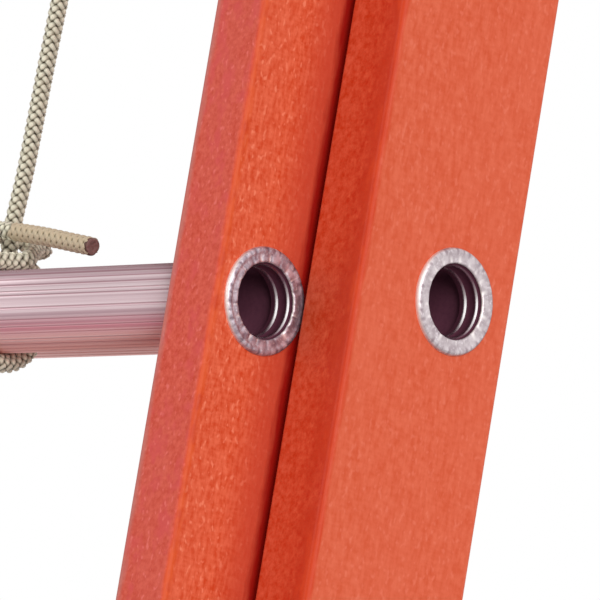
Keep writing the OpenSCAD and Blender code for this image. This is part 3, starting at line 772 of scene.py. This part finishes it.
def ring_points(section, side, i):
    """Vertices of one ring, row by row, and its marks at each, which crimp_metal explains."""
    place = SECTIONS[section]
    index = i + (0 if side > 0 else LEFT_CHANCE)
    vertices, marks = [], []
    for row, (r, h) in enumerate(RING_FACE + BORE_WALL):
        inner, outer = faded(TEETH, row), faded(TICKS, row)
        for k in range(RING_STEPS):
            angle = 2 * math.pi * k / RING_STEPS
            tooth = inner * pressed(angle, TEETH["count"], index)
            tick = outer * pressed(angle, TICKS["count"], index + TICK_CHANCE)
            # Painted glints: teeth are bright on all the base's rings and on some arcs of the fly's;
            # elsewhere they take painted shade with the ticks
            bright = section == "base" or math.sin(BRIGHT_ARCS * angle + index) > 0.0
            shaded_mark = tick if bright else max(tooth, tick)
            marks.append((shaded_mark, tooth if bright else 0.0, r * math.cos(angle)))
            dent = (tooth + TICK_SHARE * tick) * CRIMP_DEPTH[section]
            radius = (r + SPREAD_SHARE * dent * inner) * MM
            x = place["rail_x"] + (h - dent) * MM
            y = place["y"] + radius * math.cos(angle)
            vertices.append((side * x, y, rung_z(section, i) + radius * math.sin(angle)))
    return vertices, marks


def make_rings(section):
    face_rows, all_rows = len(RING_FACE), len(RING_FACE + BORE_WALL)
    vertices, faces, slots, marks = [], [], [], []
    for side in (-1, 1):
        for i in range(RUNGS):
            quads = grid_faces(all_rows, RING_STEPS, len(vertices))
            faces += [f[::-1] for f in quads] if side > 0 else quads
            for row in range(all_rows - 1):
                slots += [0 if row < face_rows else 2 if row - face_rows in LIT_BORE else 1] * RING_STEPS
            ring, ring_marks = ring_points(section, side, i)
            vertices += ring
            marks += ring_marks
    materials = ["crimp_metal_" + section, "bore_dark", "bore_bright"]
    piece = add_piece(section + "_rings", vertices, faces, materials, slots)
    point_values(piece, "marks", "FLOAT_VECTOR", "vector", marks)
    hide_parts(section + "_ferrules")
    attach(piece, section)


# ---- rope ----

ROPE_R = 4 * MM
BRAID_PITCH = 15.2 * MM
BRAID_STEP = BRAID_PITCH / 12
STRANDS_EACH_WAY = 4
BRAID_TURN = math.radians(28)
BRAID_R = 3.34                         # mm, to a strand's middle where it lies on top
BRAID_LIFT, WORN_LIFT = 0.72, 0.3      # mm, that a strand rises above and falls below its mean
STRAND_HALF_WIDTH, STRAND_HALF_THICK = 1.34 * MM, 0.98 * MM
STRAND_SIDES, CORE_SIDES = 8, 12
CORE_R = 2.3 * MM
# Heights that the painted shade between the strands is read over
RELIEF_FROM, RELIEF_SPAN = 2.5, 1.8    # mm from the rope's middle
# Radius and height past the cut of the fused end, in mm
CUT_PROFILE = [
    (3.55, -1.2), (3.75, -0.6), (3.8, 0.2), (3.7, 0.7), (3.3, 1.05), (2.6, 0.95), (1.8, 0.55),
    (0.9, 0.35), (0.05, 0.3),
]
CUT_STEPS = 28

# The rope's route as in the CAD, in mm: X from the middle, Y from the fly's front face, Z from the
# tie rung's axis
TIE_RUNG, HAUL_RUNG = 1, 2
TIE_ROUTE = [(32.2, 41.5, 31), (32, 43, 70), (30.5, 46.2, 135), (35.5, 50.3, 296.8), (35.5, 50.3, 310.8)]
TAIL_ROUTE = [
    (47, 43, 31), (44, 50, 33), (36, 53, 36), (27, 49, 38), (24, 41, 38.5), (27, 33, 38),
    (36, 29.5, 37), (48, 28.5, 35.5), (68, 27.7, 32.6), (86, 27.7, 29.4), (99.5, 27.7, 27.0),
]
FREE_FROM = 7                          # the point of TAIL_ROUTE where the free end leaves the turns
# Turns round a rung, in mm and degrees: X where they start and end, or their width, the angle they
# start at, seen along X, and how far they go
KNOT_X, KNOT_START, KNOT_ROUND = (56.0, 32.6), 84, 3 * 360 - 54
HAUL_KNOT_WIDTH, HAUL_KNOT_START, HAUL_KNOT_ROUND = 16.6, 176, 2.7 * 360
KNOT_PLAY = 0.25 * MM
TURN_POINTS = 16
PULLEY_R = 21 * MM
WHEEL_POINTS = 13
HAUL_DROP = 30 * MM                    # straight stretch below the wheel
HAUL_AHEAD, HAUL_ABOVE = 26.55 * MM, 34 * MM    # its lower end, from the haul rung's axis
# Where on the smoothed line to look for a point, because the turns pass close to it as well
TAIL_WINDOW, TIE_WINDOW = (0, 120), (200, 700)
PAST_WHEEL = 30
DENSE_STEP = 0.4 * MM                  # between the points that the even steps are read from


def from_part(point, z_zero):
    """A point of the CAD's rope route, in metres in the shared frame."""
    front = SECTIONS["fly"]["rail_front"]
    return Vector((point[0] * MM, front + point[1] * MM, z_zero + point[2] * MM))


def turns(section, rung, x_start, x_end, start, total):
    """Rope turns round a rung: total degrees from start, seen along X, with X running evenly."""
    outline = rung_outline(ROPE_R + KNOT_PLAY, 0.5 * MM)
    angles = np.array([math.atan2(z, y) for y, z in outline])
    place = SECTIONS[section]
    z_axis = rung_z(section, rung)
    count = int(total / 360 * TURN_POINTS)
    route = []
    for k in range(count + 1):
        angle = math.radians(start + total * k / count)
        wrapped = math.atan2(math.sin(angle), math.cos(angle))
        gap = np.abs(np.arctan2(np.sin(angles - wrapped), np.cos(angles - wrapped)))
        y, z = outline[int(np.argmin(gap))]
        route.append(Vector((x_start + (x_end - x_start) * k / count, place["y"] + y, z_axis + z)))
    return route


def smooth_line(points, step):
    """A centripetal Catmull-Rom line through the points, in even steps, and how far along each is."""
    dense = []
    count = len(points)
    for i in range(count - 1):
        p0 = points[max(i - 1, 0)]
        p1, p2 = points[i], points[i + 1]
        p3 = points[min(i + 2, count - 1)]
        t1 = (p1 - p0).length ** 0.5 or 1e-4
        t2 = (p2 - p1).length ** 0.5 or 1e-4
        t3 = (p3 - p2).length ** 0.5 or 1e-4
        m1 = (p2 - p1) / t2 if i == 0 else ((p1 - p0) / t1 - (p2 - p0) / (t1 + t2) + (p2 - p1) / t2)
        m2 = (p2 - p1) / t2 if i == count - 2 else ((p2 - p1) / t2 - (p3 - p1) / (t2 + t3) + (p3 - p2) / t3)
        m1, m2 = m1 * t2, m2 * t2
        pieces = max(4, int((p2 - p1).length / DENSE_STEP))
        for k in range(pieces):
            u = k / pieces
            a, b = 2 * u ** 3 - 3 * u ** 2 + 1, u ** 3 - 2 * u ** 2 + u
            c, d = -2 * u ** 3 + 3 * u ** 2, u ** 3 - u ** 2
            dense.append(p1 * a + m1 * b + p2 * c + m2 * d)
    dense.append(points[-1])
    dense = np.array(dense, float)
    lengths = np.concatenate([[0], np.cumsum(np.linalg.norm(np.diff(dense, axis=0), axis=1))])
    count = int(round(lengths[-1] / step))
    marks = np.linspace(0, lengths[-1], count + 1)
    return np.stack([np.interp(marks, lengths, dense[:, k]) for k in range(3)], 1), marks


def carried_frames(line):
    """The line's direction and two across it at each point, carried along it without twist."""
    ahead = np.gradient(line, axis=0)
    ahead /= np.linalg.norm(ahead, axis=1)[:, None]
    u = np.cross(ahead[0], (0.3, 0.9, 0.2))      # any direction that isn't along the line
    u /= np.linalg.norm(u)
    first = []
    for t in ahead:
        u = u - t * (u @ t)
        u /= np.linalg.norm(u)
        first.append(u)
    first = np.array(first)
    return ahead, first, np.cross(ahead, first)


def strand_path(centre, across, up, s, way, n, lift):
    """A strand's middle line, with the directions to its side and its top."""
    around = BRAID_TURN + way * 2 * math.pi * s / BRAID_PITCH + 2 * math.pi * n / STRANDS_EACH_WAY
    over = way * np.cos(STRANDS_EACH_WAY * (around - BRAID_TURN))
    radius = (BRAID_R - lift + lift * over) * MM
    out = np.cos(around)[:, None] * across + np.sin(around)[:, None] * up
    path = centre + out * radius[:, None]
    heading = np.gradient(path, axis=0)
    heading /= np.linalg.norm(heading, axis=1)[:, None]
    side = np.cross(heading, out)
    side /= np.linalg.norm(side, axis=1)[:, None]
    return path, side, np.cross(side, heading)


def braid(name, line, marks, frames, first, last, yarn="rope_strand", lift=BRAID_LIFT):
    """The braided rope between two point numbers of its line: strands over and under, on a core."""
    _, across, up = (f[first:last + 1] for f in frames)
    centre, s = line[first:last + 1], marks[first:last + 1]
    rings = len(centre)
    vertices, faces, slots, fibre, relief = [], [], [], [], []
    for way in (1, -1):
        for n in range(STRANDS_EACH_WAY):
            path, side, top = strand_path(centre, across, up, s, way, n, lift)
            start = len(vertices)
            for i in range(rings):
                for k in range(STRAND_SIDES):
                    a = 2 * math.pi * k / STRAND_SIDES
                    v = (path[i] + side[i] * STRAND_HALF_WIDTH * math.cos(a)
                         + top[i] * STRAND_HALF_THICK * math.sin(a))
                    vertices.append(v)
                    fibre.append((math.cos(a), s[i], n + STRANDS_EACH_WAY * way))
                    relief.append((np.linalg.norm(v - centre[i]) / MM - RELIEF_FROM) / RELIEF_SPAN)
            tube = tube_faces(rings, STRAND_SIDES, start)
            faces += tube
            slots += [0] * len(tube)
    start = len(vertices)
    for i in range(rings):
        for k in range(CORE_SIDES):
            a = 2 * math.pi * k / CORE_SIDES
            vertices.append(centre[i] + (across[i] * math.cos(a) + up[i] * math.sin(a)) * CORE_R)
            fibre.append((0, s[i], 0))
            relief.append(0)
    tube = tube_faces(rings, CORE_SIDES, start)
    faces += tube
    slots += [1] * len(tube)
    piece = add_piece(name, vertices, faces, [yarn, "rope_core"], slots)
    point_values(piece, "strand", "FLOAT_VECTOR", "vector", fibre)
    point_values(piece, "relief", "FLOAT", "value", relief)
    return piece


def rope_end(name, line, frames, point, way):
    """Fused cap on the cut rope: a short rounded plug with a sunken middle.

    It sits at a point number of the line; way is 1 where the line ends there, -1 where it starts.
    """
    tip = Vector(line[point])
    ahead, across, up = (Vector(f[point]) for f in frames)
    vertices = []
    for r, h in CUT_PROFILE:
        for k in range(CUT_STEPS):
            a = 2 * math.pi * k / CUT_STEPS
            bulge = 1 + 0.035 * math.sin(3 * a + 1.2) + 0.025 * math.sin(5 * a + h * 3)
            out = across * math.cos(a) + up * math.sin(a)
            vertices.append(tip + ahead * way * h * MM + out * r * bulge * MM)
    faces = grid_faces(len(CUT_PROFILE), CUT_STEPS)
    piece = add_piece(name, vertices, faces, ["rope_burnt"])
    return piece


def make_rope():
    tie_z, haul_z = rung_z("fly", TIE_RUNG), rung_z("base", HAUL_RUNG)
    wheel = middle("pulley_wheel")
    haul_x = wheel.x - PULLEY_R
    haul_y = SECTIONS["base"]["y"] - HAUL_AHEAD
    tail = [from_part(p, tie_z) for p in TAIL_ROUTE][::-1]
    knot = turns("fly", TIE_RUNG, KNOT_X[0] * MM, KNOT_X[1] * MM, KNOT_START, KNOT_ROUND)
    tie = [from_part(p, tie_z) for p in TIE_ROUTE]
    half_turn = np.linspace(0, math.pi, WHEEL_POINTS)
    over = [wheel + PULLEY_R * Vector((math.cos(a), 0, math.sin(a))) for a in half_turn]
    haul = [Vector((haul_x, wheel.y, wheel.z - HAUL_DROP)), Vector((haul_x, haul_y, haul_z + HAUL_ABOVE))]
    hitch_x = haul_x + HAUL_KNOT_WIDTH * MM
    haul_knot = turns("base", HAUL_RUNG, haul_x, hitch_x, HAUL_KNOT_START, HAUL_KNOT_ROUND)
    line, marks = smooth_line(tail + knot + tie + over + haul + haul_knot, BRAID_STEP)
    frames = carried_frames(line)

    def nearest(point, low, high=None):
        part = line[low:high]
        return low + int(np.argmin(np.linalg.norm(part - np.array(point), axis=1)))

    free = nearest(from_part(TAIL_ROUTE[FREE_FROM], tie_z), *TAIL_WINDOW)
    tie_start = nearest(tie[0], *TIE_WINDOW)
    tie_end = nearest(tie[-1], tie_start)
    top = nearest(over[0], tie_end)
    down = nearest(haul[-1], top + PAST_WHEEL)
    last = len(line) - 1

    # The free end is stiff and rubbed smooth
    stub = braid("rope_free_end", line, marks, frames, 0, free, "rope_worn", WORN_LIFT)
    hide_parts("rope_tail")
    burnt = rope_end("rope_burnt_end", line, frames, 0, -1)
    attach(stub, "fly")
    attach(burnt, "fly")

    tied = braid("rope_turns", line, marks, frames, free, tie_start)
    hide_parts("rope_knot")
    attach(tied, "fly")
    straight = braid("rope_tied_stretch", line, marks, frames, tie_start, tie_end)
    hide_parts("rope_tie")
    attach(straight, "fly")

    # The lift stretch goes with the base, on a mesh of its own
    lift = braid("rope_lift_stretch", line, marks, frames, tie_end, top)
    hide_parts("rope_lift")
    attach(lift, "base")
    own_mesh(lift)

    hauled = braid("rope_haul_stretch", line, marks, frames, top, down)
    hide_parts("rope_haul")
    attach(hauled, "base")
    hitched = braid("rope_haul_turns", line, marks, frames, down, last)
    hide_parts("haul_knot")
    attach(hitched, "base")
    cut = rope_end("rope_haul_end", line, frames, last, 1)
    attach(cut, "base")


# ---- floor, world and lamps ----

FLOOR_RADIUS = 1.9
FLOOR_Z = -0.5 * MM
FLOOR_FADE = (0.9, 1.85)               # the distance over which it turns clear


def make_floor():
    """A round pale floor that fades out towards its edge."""
    rings, around = 24, 96
    vertices = [(0, 0, FLOOR_Z)]
    for i in range(1, rings + 1):
        r = FLOOR_RADIUS * i / rings
        angles = [2 * math.pi * k / around for k in range(around)]
        vertices += [(r * math.cos(a), r * math.sin(a), FLOOR_Z) for a in angles]
    faces = [(0, 1 + k, 1 + (k + 1) % around) for k in range(around)]
    faces += [f[::-1] for f in grid_faces(rings, around, 1)]
    s = Shader("floor")
    place = s.split(s.coords.outputs["Object"])
    squared = s.maths("ADD", s.maths("MULTIPLY", place[0], place[0]), s.maths("MULTIPLY", place[1], place[1]))
    edge = s.remap(s.maths("SQRT", squared), *FLOOR_FADE, smooth=True)
    clear = s.add("ShaderNodeBsdfTransparent")
    blend = s.add("ShaderNodeMixShader")
    s.link(edge, blend.inputs[0])
    s.link(s.surface.outputs["BSDF"], blend.inputs[1])
    s.link(clear.outputs["BSDF"], blend.inputs[2])
    s.link(blend.outputs["Shader"], s.out.inputs["Surface"])
    dust = s.noise((30, 30, 30), 3.0)
    s.finish(Base_Color=s.mix(dust, "ecebea", "f2f1f0"), Roughness=0.9, Specular_IOR_Level=0.1)
    MATERIALS["floor"] = s.material
    floor = add_piece("floor", vertices, faces, ["floor"], smooth=False)


WORLD_LIGHT = 0.5
LAMPS = {
    # name: direction it comes from, strength, angle in degrees
    "key": ((0.88, -0.40, 0.22), 1.62, 40),
    "front": ((-0.35, -0.90, 0.20), 0.66, 30),
}


def make_world():
    """Even white light, weaker on the object than what the camera, gloss and glass see of it."""
    world = bpy.data.worlds.new("world")
    bpy.context.scene.world = world
    world.use_nodes = True
    tree = world.node_tree
    tree.nodes.clear()
    out = tree.nodes.new("ShaderNodeOutputWorld")
    background = tree.nodes.new("ShaderNodeBackground")
    path = tree.nodes.new("ShaderNodeLightPath")
    seen = path.outputs["Is Camera Ray"]
    for ray in ("Is Glossy Ray", "Is Transmission Ray"):
        either = tree.nodes.new("ShaderNodeMath")
        either.operation = "MAXIMUM"
        tree.links.new(seen, either.inputs[0])
        tree.links.new(path.outputs[ray], either.inputs[1])
        seen = either.outputs[0]
    strength = tree.nodes.new("ShaderNodeMapRange")
    strength.inputs["To Min"].default_value = WORLD_LIGHT
    strength.inputs["To Max"].default_value = 1.0
    tree.links.new(seen, strength.inputs["Value"])
    tree.links.new(strength.outputs["Result"], background.inputs["Strength"])
    background.inputs["Color"].default_value = (1, 1, 1, 1)
    tree.links.new(background.outputs["Background"], out.inputs["Surface"])


def make_lamps():
    for name, (direction, strength, angle) in LAMPS.items():
        data = bpy.data.lights.new(name, "SUN")
        data.energy = strength
        data.angle = math.radians(angle)
        lamp = bpy.data.objects.new(name, data)
        bpy.context.scene.collection.objects.link(lamp)
        lamp.rotation_mode = "QUATERNION"
        lamp.rotation_quaternion = Vector(direction).to_track_quat("Z", "Y")


make_camera()
make_rope()
dress_cad_nodes()
make_rungs()
for section_name in SECTIONS:
    make_rings(section_name)
make_floor()
make_world()
make_lamps()
bpy.context.scene.view_settings.view_transform = "Standard"

bpy.context.view_layer.update()
